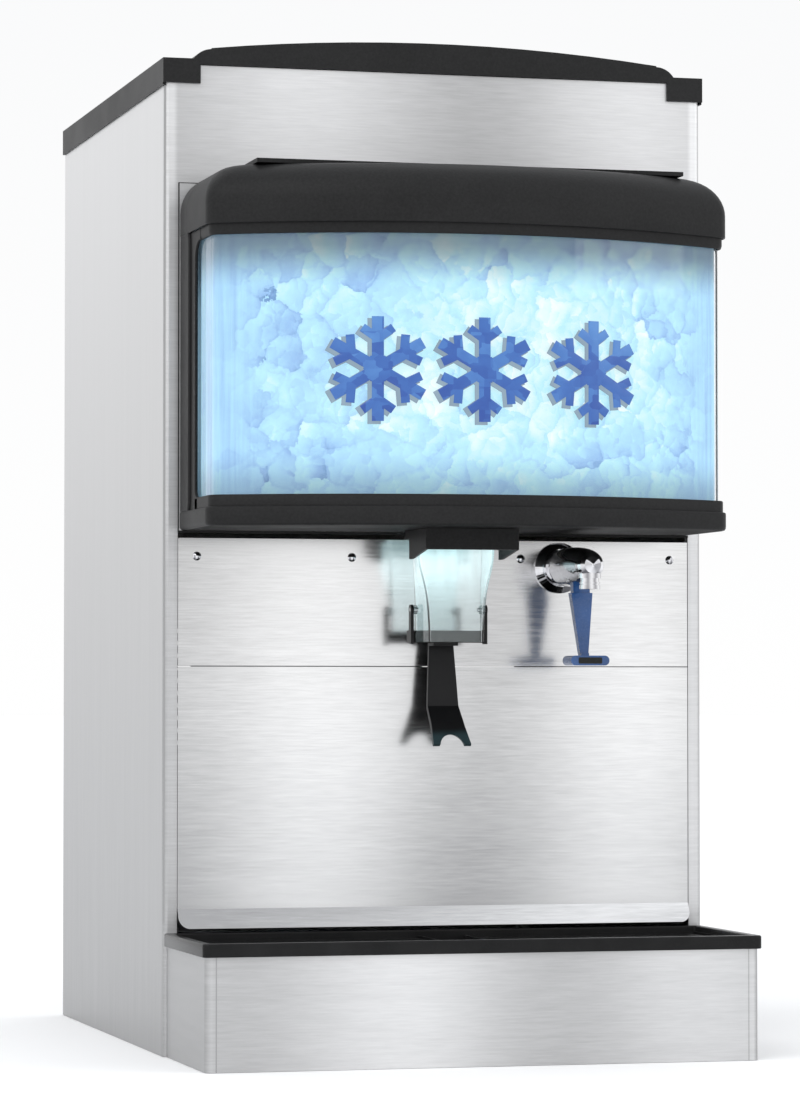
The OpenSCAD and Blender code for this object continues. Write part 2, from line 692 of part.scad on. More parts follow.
base_pan();
leg_nuts();
left_side_panel();
right_side_panel();
rear_panel();
rear_screws();
front_frame();
top_frame();
upper_splash_panel();
lower_splash_panel();
splash_screws();
hopper_lid();
hopper_liner();
hopper_insulation();
cold_plate();
gearmotor();
motor_bracket();
agitator_shaft();
agitator_arms();
ice_gate();
gate_plunger();
gate_solenoid();
bin_drain_tube();
display_gasket();
display_back_pan();
display_hood();
hood_cover();
display_bezel();
left_side_trim();
right_side_trim();
display_lens();
ice_graphic();
ice_emblems();
lamp_tube();
lamp_holders();
ice_throat();
ice_shroud();
ice_chute();
lever_pins();
ice_lever();
switch_plunger();
lever_switch();
tap_collar();
tap_shank();
tap_nut();
tap_body();
tap_nozzle();
tap_pin();
tap_lever();
tap_pad();
tap_pad_insert();
water_tube_rear();
water_tube_front();
water_inlet();
control_box();
power_inlet();
tray_body();
tray_pan();
left_cup_rest();
right_cup_rest();
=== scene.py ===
import json
import math
import bpy
import bmesh
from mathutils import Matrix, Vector


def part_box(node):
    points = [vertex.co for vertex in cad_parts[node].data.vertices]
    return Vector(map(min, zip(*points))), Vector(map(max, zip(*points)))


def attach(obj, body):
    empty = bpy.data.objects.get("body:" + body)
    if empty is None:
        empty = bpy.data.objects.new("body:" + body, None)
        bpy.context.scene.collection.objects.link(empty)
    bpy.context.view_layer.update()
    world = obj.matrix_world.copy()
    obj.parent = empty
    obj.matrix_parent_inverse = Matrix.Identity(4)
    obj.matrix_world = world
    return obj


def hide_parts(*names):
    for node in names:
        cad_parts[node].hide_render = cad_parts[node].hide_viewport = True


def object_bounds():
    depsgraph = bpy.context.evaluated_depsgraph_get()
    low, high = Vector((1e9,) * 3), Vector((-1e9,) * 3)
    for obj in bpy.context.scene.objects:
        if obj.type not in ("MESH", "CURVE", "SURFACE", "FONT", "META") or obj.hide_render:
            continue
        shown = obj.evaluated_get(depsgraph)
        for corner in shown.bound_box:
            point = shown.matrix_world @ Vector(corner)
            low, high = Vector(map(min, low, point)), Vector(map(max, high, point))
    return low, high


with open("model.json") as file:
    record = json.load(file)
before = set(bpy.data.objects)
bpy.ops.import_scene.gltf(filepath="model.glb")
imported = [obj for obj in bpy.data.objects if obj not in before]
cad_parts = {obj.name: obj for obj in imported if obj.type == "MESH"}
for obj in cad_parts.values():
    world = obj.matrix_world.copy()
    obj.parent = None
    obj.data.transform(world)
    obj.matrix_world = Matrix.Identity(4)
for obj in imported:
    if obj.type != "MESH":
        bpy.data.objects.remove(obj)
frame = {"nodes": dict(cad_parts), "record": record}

CAD_BOX = [list(v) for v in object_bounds()]
NODES = frame["nodes"]
scene = bpy.context.scene
MM = 0.001
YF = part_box("front_frame")[0].y            # the cabinet's front face

# ------------------------------------------------------------------ materials


class Mat:
    """A Principled material with short helpers for its nodes."""

    def __init__(self, name, **sockets):
        self.m = bpy.data.materials.new(name)
        self.m.use_nodes = True
        self.nt = self.m.node_tree
        self.b = self.nt.nodes["Principled BSDF"]
        for k, v in sockets.items():
            self.b.inputs[k.replace("_", " ")].default_value = v
        self.co = self.nt.nodes.new("ShaderNodeTexCoord").outputs["Object"]

    def n(self, kind, **props):
        node = self.nt.nodes.new("ShaderNode" + kind)
        for k, v in props.items():
            setattr(node, k, v)
        return node

    def put(self, sock, v):
        if hasattr(v, "is_output"):
            self.nt.links.new(v, sock)
        else:
            sock.default_value = v
        return sock

    def math(self, op, a, b=0.0, c=None, clamp=False):
        node = self.n("Math", operation=op, use_clamp=clamp)
        self.put(node.inputs[0], a)
        self.put(node.inputs[1], b)
        if c is not None:
            self.put(node.inputs[2], c)
        return node.outputs[0]

    def xyz(self):
        s = self.n("SeparateXYZ")
        self.put(s.inputs[0], self.co)
        return s.outputs

    def normal(self):
        """The object's own normal, as x, y and z."""
        t = self.n("TexCoord")
        s = self.n("SeparateXYZ")
        self.put(s.inputs[0], t.outputs["Normal"])
        return s.outputs

    def scaled(self, scale, loc=(0, 0, 0)):
        mp = self.n("Mapping")
        self.put(mp.inputs["Vector"], self.co)
        mp.inputs["Scale"].default_value = scale
        mp.inputs["Location"].default_value = loc
        return mp.outputs[0]

    def noise(self, scale, detail=3.0, rough=0.5, vec=None):
        t = self.n("TexNoise")
        self.put(t.inputs["Vector"], self.co if vec is None else vec)
        t.inputs["Scale"].default_value = scale
        t.inputs["Detail"].default_value = detail
        t.inputs["Roughness"].default_value = rough
        return t.outputs["Fac"]

    def ramp(self, fac, *stops):
        r = self.n("ValToRGB")
        self.put(r.inputs[0], fac)
        el = r.color_ramp.elements
        while len(el) < len(stops):
            el.new(0.5)
        for e, (p, c) in zip(el, stops):
            e.position = p
            e.color = (*c, 1) if len(c) == 3 else c
        return r.outputs[0]

    def span(self, v, a, b, c, d):
        r = self.n("MapRange")
        self.put(r.inputs[0], v)
        for i, x in enumerate((a, b, c, d)):
            r.inputs[i + 1].default_value = x
        return r.outputs[0]

    def smooth(self, v, a, b, c, d):
        r = self.n("MapRange", interpolation_type="SMOOTHSTEP")
        self.put(r.inputs[0], v)
        for i, x in enumerate((a, b, c, d)):
            r.inputs[i + 1].default_value = x
        return r.outputs[0]

    def mix(self, fac, a, b, kind="MIX"):
        x = self.n("Mix", data_type="RGBA", blend_type=kind)
        self.put(x.inputs[0], fac)
        self.put(x.inputs[6], a if hasattr(a, "is_output") else (*a, 1))
        self.put(x.inputs[7], b if hasattr(b, "is_output") else (*b, 1))
        return x.outputs[2]

    def bump(self, height, strength, dist):
        b = self.n("Bump")
        b.inputs["Strength"].default_value = strength
        b.inputs["Distance"].default_value = dist
        self.put(b.inputs["Height"], height)
        self.put(self.b.inputs["Normal"], b.outputs[0])


def steel(name, low, high, rough, reflection_bands=0.0, downward_shade=0.0, streak=0.05, foot=0.0, metal=1.0,
          lay=(34, 34, 560), edge=0.0):
    """Brushed sheet whose base colour runs from low to high.

    Fine streaks follow lay. Painted light lies over them: reflection bands across the front, shade on
    side faces, shade downwards and at the lower splash panel's foot, and a highlight by the folded front
    corners."""
    m = Mat(name, Metallic=metal)
    fine = m.noise(1.0, 3.0, 0.62, m.scaled(lay))
    wide = m.noise(1.0, 2.0, 0.5, m.scaled(tuple(v * 0.2 for v in lay), (3.1, 0.4, 1.7)))
    x, y, z = m.xyz()
    tone = m.math("ADD", m.math("MULTIPLY", m.math("SUBTRACT", fine, 0.5), streak * 2.8),
                  m.math("MULTIPLY", m.math("SUBTRACT", wide, 0.5), streak * 0.9))
    tone = m.math("ADD", tone, 0.56 if foot else 0.5)
    normal = m.normal()
    side = m.math("ABSOLUTE", normal[0])
    if reflection_bands:
        # Painted reflection: wavy light and dark bands across the front.
        wob = m.math("MULTIPLY", m.noise(2.2, 2.0, 0.5), 1.6)
        ahead = m.math("MULTIPLY", m.math("ADD", y, -YF), 0.24)
        across = m.math("MULTIPLY", m.math("ADD", m.math("ADD", x, 0.086), ahead), 18.6)
        wave = m.math("COSINE", m.math("ADD", across, wob))
        # The drip lip is the one face that looks up and forwards; the bands are kept off it, and its tone
        # is painted reflection, darker at the left and lighter at the right.
        lip = m.smooth(normal[2], 0.25, 0.42, 0.0, 1.0)
        front = m.math("MULTIPLY", m.math("SUBTRACT", 1.0, side),
                       m.math("SUBTRACT", 1.0, m.math("MULTIPLY", lip, 0.85)))
        tone = m.math("ADD", tone, m.math("MULTIPLY", m.math("MULTIPLY", wave, reflection_bands), front))
        # Painted shade: faces turned to the side are darker.
        tone = m.math("SUBTRACT", tone, m.math("MULTIPLY", side, 0.5))
        tone = m.math("ADD", tone, m.math("MULTIPLY", lip, m.span(x, -0.27, 0.27, -0.28, 0.30)))
        # Painted shade: darker towards the lower right.
        right = m.math("MULTIPLY", m.smooth(x, 0.16, 0.27, 0.0, 0.22),
                       m.smooth(z, 0.13, 0.15, 1.0, 0.0))
        tone = m.math("SUBTRACT", tone, right)
    if edge:
        # Folded corner: a painted highlight band beside the edge, with a hairline where the sheets meet.
        ax = m.math("ABSOLUTE", x)
        glint = m.math("MULTIPLY", m.smooth(ax, 0.2655, 0.2715, 0.0, 1.0),
                       m.smooth(z, 0.35, 0.75, 0.15, 1.0))
        tone = m.math("ADD", tone, m.math("MULTIPLY", glint, edge))
        seam = m.math("MULTIPLY", m.smooth(ax, 0.2781, 0.2788, 0.0, 1.0),
                      m.smooth(z, 0.13, 0.14, 0.0, 1.0))
        tone = m.math("SUBTRACT", tone, m.math("MULTIPLY", seam, 1.6))
        fold = m.math("COMPARE", ax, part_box("tray_body")[1].x - 0.0105, 0.0006)
        tone = m.math("SUBTRACT", tone, m.math("MULTIPLY", fold, m.smooth(z, 0.11, 0.112, 0.35, 0.0)))
    # Painted shade: darker downwards.
    if downward_shade:
        tone = m.math("ADD", tone, m.math("MULTIPLY", m.math("SUBTRACT", z, 0.5), downward_shade))
    # Painted shade: the lower splash panel darker towards its foot.
    if foot:
        tone = m.math("SUBTRACT", tone, m.smooth(z, 0.14, 0.36, foot, 0.0))
    m.put(m.b.inputs["Base Color"], m.ramp(tone, (0.0, low), (1.0, high)))
    m.put(m.b.inputs["Roughness"], m.span(fine, 0.3, 0.7, rough * 0.85, rough * 1.2))
    m.bump(fine, 0.018, 0.0002)
    return m.m


def grained(name, color, rough, scale=1100.0, strength=0.25, spec=0.35, ior=1.5):
    """Moulded plastic with a fine leather grain, painted lighter on its high spots as a highlight, and
    with a random cloud of tone.
    """
    m = Mat(name, IOR=ior)
    m.b.inputs["Specular IOR Level"].default_value = spec
    v = m.n("TexVoronoi", feature="SMOOTH_F1")
    m.put(v.inputs["Vector"], m.co)
    v.inputs["Scale"].default_value = scale
    cells = v.outputs["Distance"]
    fine = m.noise(scale * 0.6, 4.0, 0.6)
    h = m.math("ADD", m.math("MULTIPLY", cells, 0.7), m.math("MULTIPLY", fine, 0.5))
    cloud = m.noise(9.0, 3.0, 0.55)
    # Painted highlight on the grain's high spots, mixed with random tone.
    grain_sheen_and_tone = m.math("ADD", m.math("MULTIPLY", fine, 0.6), m.math("MULTIPLY", cloud, 0.4))
    dark = tuple(c * 0.75 for c in color)
    light = tuple(c * 1.35 for c in color)
    m.put(m.b.inputs["Base Color"], m.ramp(grain_sheen_and_tone, (0.3, dark), (0.7, light)))
    m.put(m.b.inputs["Roughness"], m.span(cloud, 0.3, 0.7, rough * 0.9, rough * 1.12))
    m.bump(h, strength, 0.00025)
    return m.m


def smooth_plastic(name, color, rough, vary=0.12, coat=0.0, spec=0.5, ior=1.5):
    """Satin or gloss plastic with faint flow marks."""
    m = Mat(name, IOR=ior)
    m.b.inputs["Specular IOR Level"].default_value = spec
    m.b.inputs["Coat Weight"].default_value = coat
    m.b.inputs["Coat Roughness"].default_value = 0.08
    cloud = m.noise(24.0, 4.0, 0.55)
    fine = m.noise(900.0, 2.0, 0.5)
    m.put(m.b.inputs["Base Color"], m.ramp(cloud, (0.3, tuple(c * (1 - vary) for c in color)),
                                           (0.7, tuple(min(1, c * (1 + vary)) for c in color))))
    m.put(m.b.inputs["Roughness"], m.span(fine, 0.3, 0.7, rough * 0.85, rough * 1.2))
    m.bump(fine, 0.05, 0.0001)
    return m.m


def plain_metal(name, color, rough, grain=300.0, blotch=0.12, strength=0.1):
    m = Mat(name, Metallic=1.0)
    cloud = m.noise(40.0, 4.0, 0.6)
    fine = m.noise(grain, 3.0, 0.6)
    m.put(m.b.inputs["Base Color"], m.ramp(cloud, (0.25, tuple(c * (1 - blotch) for c in color)),
                                           (0.75, tuple(min(1, c * (1 + blotch)) for c in color))))
    m.put(m.b.inputs["Roughness"], m.span(fine, 0.3, 0.7, rough * 0.8, rough * 1.25))
    m.bump(fine, strength, 0.0002)
    return m.m


def galvanised():
    """Zinc spangle: flat crystals, each with its own tone."""
    m = Mat("galvanised", Metallic=0.85)
    v = m.n("TexVoronoi")
    m.put(v.inputs["Vector"], m.co)
    v.inputs["Scale"].default_value = 75.0
    sep = m.n("SeparateColor")
    m.put(sep.inputs[0], v.outputs["Color"])
    cell = sep.outputs[0]
    fine = m.noise(420.0, 3.0, 0.6)
    tone = m.math("ADD", m.math("MULTIPLY", cell, 0.7), m.math("MULTIPLY", fine, 0.3))
    m.put(m.b.inputs["Base Color"], m.ramp(tone, (0.0, (0.44, 0.45, 0.47)), (1.0, (0.66, 0.67, 0.69))))
    m.put(m.b.inputs["Roughness"], m.span(cell, 0.0, 1.0, 0.34, 0.55))
    m.bump(fine, 0.08, 0.0002)
    return m.m


def chrome():
    """Bright plate with painted reflection: its tone rolls in light and dark bands round the turned
    parts, and painted shade darkens it underneath.
    """
    m = Mat("polished_chrome", Metallic=1.0)
    fine = m.noise(160.0, 3.0, 0.5)
    normal = m.normal()
    # Painted reflection: light and dark bands by the way each face turns.
    reflection_roll = m.math("COSINE", m.math("MULTIPLY", m.math("ADD", normal[0], 0.1), 8.5))
    tone = m.math("ADD", m.math("MULTIPLY", fine, 0.3), m.math("MULTIPLY", reflection_roll, 0.26))
    # Painted shade: darker on faces turned downwards.
    tone = m.math("ADD", tone, m.smooth(normal[2], -0.75, 0.1, 0.02, 0.48))
    m.put(m.b.inputs["Base Color"], m.ramp(tone, (0.1, (0.12, 0.12, 0.13)), (0.45, (0.46, 0.46, 0.48)),
                                           (0.85, (0.84, 0.84, 0.86))))
    m.put(m.b.inputs["Roughness"], m.span(fine, 0.3, 0.7, 0.03, 0.075))
    return m.m


def clear(name, tint, rough, glow=0.0, glow_z=(0.0, 1.0), ior=1.49, coat=0.0):
    """Clear moulding; glow is painted light, an emission that stands in for the display's cool light
    carried down its edges.
    """
    m = Mat(name, IOR=ior)
    m.b.inputs["Transmission Weight"].default_value = 1.0
    m.b.inputs["Coat Weight"].default_value = coat
    m.b.inputs["Coat Roughness"].default_value = 0.02
    cloud = m.noise(30.0, 3.0, 0.5)
    m.put(m.b.inputs["Base Color"], m.ramp(cloud, (0.3, tuple(c * 0.97 for c in tint)), (0.7, tint)))
    m.put(m.b.inputs["Roughness"], m.span(cloud, 0.3, 0.7, rough * 0.7, rough * 1.3))
    if glow:
        # Painted glow: emission, strongest high up and in upright veins.
        z = m.xyz()[2]
        f = m.smooth(z, glow_z[0], glow_z[1], 0.0, 1.0)
        veins = m.span(m.noise(1.0, 2.0, 0.5, m.scaled((70, 70, 9))), 0.3, 0.7, 0.45, 1.3)
        f = m.math("MULTIPLY", f, veins)
        m.b.inputs["Emission Color"].default_value = (0.72, 0.97, 1.0, 1)
        m.put(m.b.inputs["Emission Strength"], m.math("MULTIPLY", f, glow))
    return m.m


def ice_print(z0, z1):
    """Print of heaped clear ice, given a painted glow in place of the lamp behind it: chunks at three
    sizes, each with its own printed lit side, under a painted brighter middle of backlight."""
    m = Mat("lit_ice_print", Roughness=0.6)
    x, y, z = m.xyz()
    warp = m.n("TexNoise")
    m.put(warp.inputs["Vector"], m.co)
    warp.inputs["Scale"].default_value = 42.0
    warp.inputs["Detail"].default_value = 5.0
    warp.inputs["Roughness"].default_value = 0.62
    sub = m.n("VectorMath", operation="SUBTRACT")
    m.put(sub.inputs[0], warp.outputs["Color"])
    sub.inputs[1].default_value = (0.5, 0.5, 0.5)
    mul = m.n("VectorMath", operation="SCALE")
    m.put(mul.inputs[0], sub.outputs[0])
    mul.inputs["Scale"].default_value = 0.022
    add = m.n("VectorMath", operation="ADD")
    m.put(add.inputs[0], m.co)
    m.put(add.inputs[1], mul.outputs[0])
    pos = add.outputs[0]

    def chunks(scale, squash, shift):
        """Lit side and border distance of one heap of chunks."""
        mp = m.n("Mapping")
        m.put(mp.inputs["Vector"], pos)
        mp.inputs["Scale"].default_value = squash
        mp.inputs["Location"].default_value = shift
        mp.inputs["Rotation"].default_value = (0, 0.3 + shift[0], 0)
        out = []
        for feature in ("F1", "DISTANCE_TO_EDGE"):
            v = m.n("TexVoronoi", feature=feature)
            m.put(v.inputs["Vector"], mp.outputs[0])
            v.inputs["Scale"].default_value = scale
            v.inputs["Randomness"].default_value = 0.85
            out.append(v)
        d = m.n("VectorMath", operation="SUBTRACT")
        m.put(d.inputs[0], mp.outputs[0])
        m.put(d.inputs[1], out[0].outputs["Position"])
        c = m.n("VectorMath", operation="SUBTRACT")
        m.put(c.inputs[0], out[0].outputs["Color"])
        c.inputs[1].default_value = (0.62, 0.5, 0.12)
        dot = m.n("VectorMath", operation="DOT_PRODUCT")
        m.put(dot.inputs[0], d.outputs[0])
        m.put(dot.inputs[1], c.outputs[0])
        sc = m.n("SeparateColor")
        m.put(sc.inputs[0], out[0].outputs["Color"])
        lit = m.math("ADD", m.math("MULTIPLY", dot.outputs["Value"], scale * 0.85),
                     m.math("MULTIPLY", m.math("SUBTRACT", sc.outputs[1], 0.5), 0.42))
        return lit, out[1].outputs["Distance"]

    a, ea = chunks(23.0, (1.0, 1.0, 1.15), (0.13, 0.2, 0.31))
    b, eb = chunks(37.0, (1.1, 1.0, 0.95), (0.57, 0.4, 0.03))
    c, ec = chunks(85.0, (1.0, 1.0, 1.1), (0.91, 0.1, 0.47))
    # Big chunks lie over the smaller ones in patches.
    over = m.smooth(m.noise(9.0, 2.0, 0.5), 0.44, 0.54, 0.0, 1.0)
    big = m.math("SUBTRACT", m.math("MULTIPLY", a, 0.50), m.smooth(ea, 0.0, 0.10, 0.085, 0.0))
    small = m.math("SUBTRACT", m.math("MULTIPLY", b, 0.47), m.smooth(eb, 0.0, 0.11, 0.075, 0.0))
    tone = m.math("ADD", m.math("MULTIPLY", big, over),
                  m.math("MULTIPLY", small, m.math("SUBTRACT", 1.0, over)))
    tone = m.math("ADD", tone, m.math("MULTIPLY", c, 0.22))
    crumbs = m.math("SUBTRACT", m.noise(26.0, 5.0, 0.65), 0.5)
    tone = m.math("ADD", tone, m.math("MULTIPLY", crumbs, 0.40))
    # Painted backlight: a brighter middle, cooler towards the ends, with painted shade at the top and the
    # foot.
    xm = m.math("ABSOLUTE", m.math("SUBTRACT", x, 0.03))
    backlight_pool = m.math("MULTIPLY", m.smooth(xm, 0.04, 0.27, 1.0, 0.0),
                 m.math("MULTIPLY", m.smooth(z, z0, z0 + 0.10, 0.1, 1.0),
                        m.smooth(z, z1 - 0.11, z1, 1.0, 0.2)))
    tone = m.math("ADD", m.math("ADD", tone, 0.46), m.math("MULTIPLY", backlight_pool, 0.31))
    # Painted light: upright highlight streaks of the lens's curved corners, laid over the print where it
    # wraps them.
    wrap = m.smooth(m.math("ABSOLUTE", x), 0.205, 0.245, 0.0, 1.0)
    lines = m.noise(1.0, 3.0, 0.6, m.scaled((190, 120, 5)))
    streaks = m.math("ADD", m.math("MULTIPLY", m.math("SUBTRACT", lines, 0.5), 0.85), 0.40)
    share = m.math("MULTIPLY", wrap, 0.8)
    tone = m.math("ADD", m.math("MULTIPLY", tone, m.math("SUBTRACT", 1.0, share)),
                  m.math("MULTIPLY", streaks, share))
    col = m.ramp(tone, (0.0, (0.13, 0.30, 0.60)), (0.22, (0.29, 0.52, 0.86)),
                 (0.42, (0.40, 0.71, 0.96)),
                 (0.62, (0.50, 0.87, 0.97)), (0.82, (0.74, 0.96, 0.98)), (1.0, (0.94, 1.0, 1.0)))
    # Painted shadow of the hood: the glow dims and greys towards the top, and painted shade dims it at
    # the foot.
    top = m.smooth(z, z1 - 0.060, z1 - 0.012, 1.0, 0.17)
    foot = m.smooth(z, z0 + 0.008, z0 + 0.05, 0.50, 1.0)
    hood_shadow_grey = m.smooth(z, z1 - 0.055, z1 - 0.012, 0.0, 0.10)
    col = m.mix(hood_shadow_grey, col, (0.50, 0.60, 0.68))
    m.put(m.b.inputs["Base Color"], m.mix(0.9, col, (0.02, 0.03, 0.04)))
    # The glow is painted light, standing in for the lamp behind the print.
    m.put(m.b.inputs["Emission Color"], col)
    m.put(m.b.inputs["Emission Strength"], m.math("MULTIPLY", m.math("MULTIPLY", top, foot), 0.90))
    return m.m


def emblem_film():
    """Blue film, tiled darker and lighter like stacked blocks, with a painted glow as if lit a little
    from behind, and painted lighter towards the top of each crystal.
    """
    m = Mat("blue_film", Roughness=0.3)
    v = m.n("TexVoronoi", distance="CHEBYCHEV")
    m.put(v.inputs["Vector"], m.scaled((1.0, 1.0, 1.4)))
    v.inputs["Scale"].default_value = 62.0
    sc = m.n("SeparateColor")
    m.put(sc.inputs[0], v.outputs["Color"])
    z = m.xyz()[2]
    t = m.math("ADD", m.math("MULTIPLY", sc.outputs[0], 0.5),
               m.math("MULTIPLY", m.noise(60.0, 3.0, 0.5), 0.4))
    # Painted light: lighter towards the top of each crystal.
    t = m.math("ADD", t, m.smooth(z, 0.61, 0.73, -0.12, 0.16))
    col = m.ramp(t, (0.1, (0.030, 0.10, 0.44)), (0.5, (0.055, 0.18, 0.57)), (0.9, (0.12, 0.33, 0.76)))
    m.put(m.b.inputs["Base Color"], m.mix(0.42, col, (0.0, 0.0, 0.0)))
    # Painted glow, as if lit a little from behind.
    m.put(m.b.inputs["Emission Color"], col)
    m.b.inputs["Emission Strength"].default_value = 0.16
    return m.m


def lever_plastic(zb):
    """Black push lever, whose forked tips are painted teal as a reflection of the display's cool light.
    """
    m = Mat("lever_plastic", Roughness=0.35)
    m.b.inputs["Specular IOR Level"].default_value = 0.2
    z = m.xyz()[2]
    cloud = m.noise(30.0, 3.0, 0.5)
    height = m.math("ADD", z, m.math("MULTIPLY", cloud, 0.008))
    # Painted reflection: below this height the tips are tinted teal.
    tips = m.smooth(height, zb + 0.014, zb + 0.022, 1.0, 0.0)
    dark = m.ramp(cloud, (0.3, (0.0055, 0.0055, 0.006)), (0.7, (0.0075, 0.0075, 0.008)))
    m.put(m.b.inputs["Base Color"], m.mix(tips, dark, (0.021, 0.038, 0.043)))
    m.bump(m.noise(800.0, 2.0, 0.5), 0.1, 0.0001)
    return m.m


def lamp_glow():
    m = Mat("lamp_glow", Roughness=0.4)
    x = m.xyz()[0]
    m.b.inputs["Base Color"].default_value = (0.9, 0.95, 1.0, 1)
    m.b.inputs["Emission Color"].default_value = (0.80, 0.96, 1.0, 1)
    ends = m.smooth(m.math("ABSOLUTE", x), 0.17, 0.2, 1.6, 0.5)
    m.put(m.b.inputs["Emission Strength"], ends)
    return m.m


M = {
    # Front steel: painted reflection bands, and a painted highlight on its folded corners.
    "stainless": steel("brushed_stainless", (0.33, 0.33, 0.333), (0.86, 0.86, 0.865), 0.36, reflection_bands=0.23,
                       streak=0.12, metal=0.7, edge=0.35),
    # Side-panel steel: its vertical lay is real brushing; its darker range and its darkening downwards
    # are painted shade.
    "stainless_side": steel("brushed_stainless_side", (0.27, 0.27, 0.273), (0.79, 0.79, 0.795), 0.36,
                            downward_shade=0.75, streak=0.07, metal=0.85, lay=(26, 420, 9)),
    # Splash steel: painted reflection bands, and painted shade towards its foot.
    "splash": steel("polished_stainless", (0.36, 0.36, 0.363), (1.0, 1.0, 1.0), 0.17, reflection_bands=0.22,
                    streak=0.13, foot=0.30),
    "galvanised": galvanised(),
    "black_moulding": grained("black_moulding", (0.0165, 0.0165, 0.0168), 0.42, 640.0, 0.5, 0.30, 1.25),
    "lid": grained("lid_moulding", (0.0165, 0.0165, 0.0168), 0.42, 640.0, 0.5, 0.13),
    "black_gloss": smooth_plastic("black_gloss", (0.0135, 0.0135, 0.0138), 0.24, 0.2, 0.0, 0.20, 1.33),
    "foam_gasket": grained("foam_gasket", (0.012, 0.012, 0.012), 0.85, 420.0, 0.6, 0.2),
    "white_plastic": smooth_plastic("white_plastic", (0.80, 0.82, 0.83), 0.35, 0.03),
    "foam": grained("rigid_foam", (0.34, 0.34, 0.32), 0.8, 300.0, 0.5, 0.3),
    "aluminium": plain_metal("cast_aluminium", (0.60, 0.61, 0.63), 0.42),
    "steel": plain_metal("zinc_plated_steel", (0.58, 0.59, 0.60), 0.30),
    "motor_paint": smooth_plastic("motor_paint", (0.035, 0.038, 0.045), 0.4),
    "chrome": chrome(),
    "brass": plain_metal("turned_brass", (0.72, 0.52, 0.22), 0.25),
    "copper_tube": plain_metal("drawn_copper", (0.72, 0.38, 0.24), 0.28),
    # The chute carries a painted glow towards its top.
    "clear": clear("clear_chute", (0.93, 0.985, 0.99), 0.05, 0.155, (0.425, 0.515)),
    "lens": clear("clear_lens", (0.98, 0.99, 1.0), 0.02, ior=1.03, coat=0.5),
    "emblem": emblem_film(),
    "lamp": lamp_glow(),
    "blue_plastic": smooth_plastic("blue_plastic", (0.022, 0.075, 0.22), 0.25, 0.25, 0.3),
    # A darker copy of the black moulding for the bezel's underside: the darker colour is painted shade,
    # while its low gloss is real.
    "underside": grained("bezel_underside", (0.006, 0.006, 0.006), 0.6, 500.0, 0.6, 0.06),
    "rubber": grained("black_rubber", (0.010, 0.011, 0.010), 0.7, 700.0, 0.3, 0.3),
}
M["graphic"] = ice_print(*(corner.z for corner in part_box("ice_graphic")))
M["lever"] = lever_plastic(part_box("ice_lever")[0].z)

# ------------------------------------------------------------- dress the CAD

OWN = {"left_side_panel": "stainless_side", "right_side_panel": "stainless_side",
       "upper_splash_panel": "splash", "lower_splash_panel": "splash", "hopper_lid": "lid",
       "ice_lever": "lever"}
for sp in frame["record"]["subparts"]:
    node = sp["node"]
    if node not in NODES:
        continue
    mats = NODES[node].data.materials
    mats.clear()
    mats.append(M[OWN.get(node, sp["material_slot"])])


def smooth_by_angle(mesh, deg=35.0):
    for p in mesh.polygons:
        p.use_smooth = True
    mesh.set_sharp_from_angle(angle=math.radians(deg))


def soften(o, width, seg=2, deg=40.0):
    b = o.modifiers.new("edge", "BEVEL")
    b.width = width * MM
    b.segments = seg
    b.limit_method = "ANGLE"
    b.angle_limit = math.radians(deg)
    b.use_clamp_overlap = True
    b.harden_normals = True
    return o


# --------------------------------------------------------------- mesh makers

HW, SIDE, MID = 264.5, 130.0, 203.0         # display half width, corner and centre depth
BACK = -1.7                                 # back edge of the housing, just clear of its gasket
WY = -60.0                                  # where the window's sides start
WINDOW = (548.8, 799.8)                     # foot and top of the window
SHEET = (541.2, 806.0)                      # foot and top of the lens and of the print behind it
BOW_R = (HW * HW + (MID - SIDE) ** 2) / (2 * (MID - SIDE))
BOW_C = BOW_R - MID


def new_piece(name, bm, body, material, stands_for=(), deg=35.0):
    bmesh.ops.recalc_face_normals(bm, faces=bm.faces)
    me = bpy.data.meshes.new(name)
    bm.to_mesh(me)
    bm.free()
    smooth_by_angle(me, deg)
    me.materials.append(material)
    o = bpy.data.objects.new(name, me)
    scene.collection.objects.link(o)
    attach(o, body)
    if stands_for:
        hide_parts(*stands_for)
    return o


def black_piece(name, bm, stands_for=(), deg=50):
    return new_piece(name, bm, "cabinet", M["black_moulding"], stands_for, deg)


def pt(x, y, z):
    """A point given in mm with y = 0 on the cabinet's front face."""
    return Vector((x * MM, YF + y * MM, z * MM))


def outline(inset, r, y_back, n_side=4, n_arc=9, n_bow=34):
    """Plan of the display housing, from back left to back right: drawn in by inset, and with its front
    corners rounded by r."""
    hw, R = HW - inset, BOW_R - inset
    cx = hw - r
    cy = BOW_C - math.sqrt((R - r) ** 2 - cx * cx)
    a1 = math.atan2(cy - BOW_C, cx)
    half = [(hw, y_back + (cy - y_back) * i / n_side) for i in range(n_side)]
    for i in range(n_arc + 1):
        a = a1 * i / n_arc
        half.append((cx + r * math.cos(a), cy + r * math.sin(a)))
    for i in range(1, n_bow + 1):
        a = a1 + (-math.pi / 2 - a1) * i / n_bow
        half.append((R * math.cos(a), BOW_C + R * math.sin(a)))
    left = [(-x, y) for x, y in half]
    return left + half[-2::-1]


def bridge(bm, a, b, closed=False):
    n = len(a)
    for i in range(n if closed else n - 1):
        j = (i + 1) % n
        bm.faces.new((a[i], a[j], b[j], b[i]))


def swept(bm, profile, y_back):
    """Closed band round the display: profile is (inset, corner radius, z) corner by corner."""
    rings = []
    for inset, r, z in profile:
        rings.append([bm.verts.new(pt(x, y, z)) for x, y in outline(inset, r, y_back)])
    for i, ring in enumerate(rings):
        bridge(bm, ring, rings[(i + 1) % len(rings)])
    bm.faces.new([r[0] for r in rings])
    bm.faces.new([r[-1] for r in reversed(rings)])


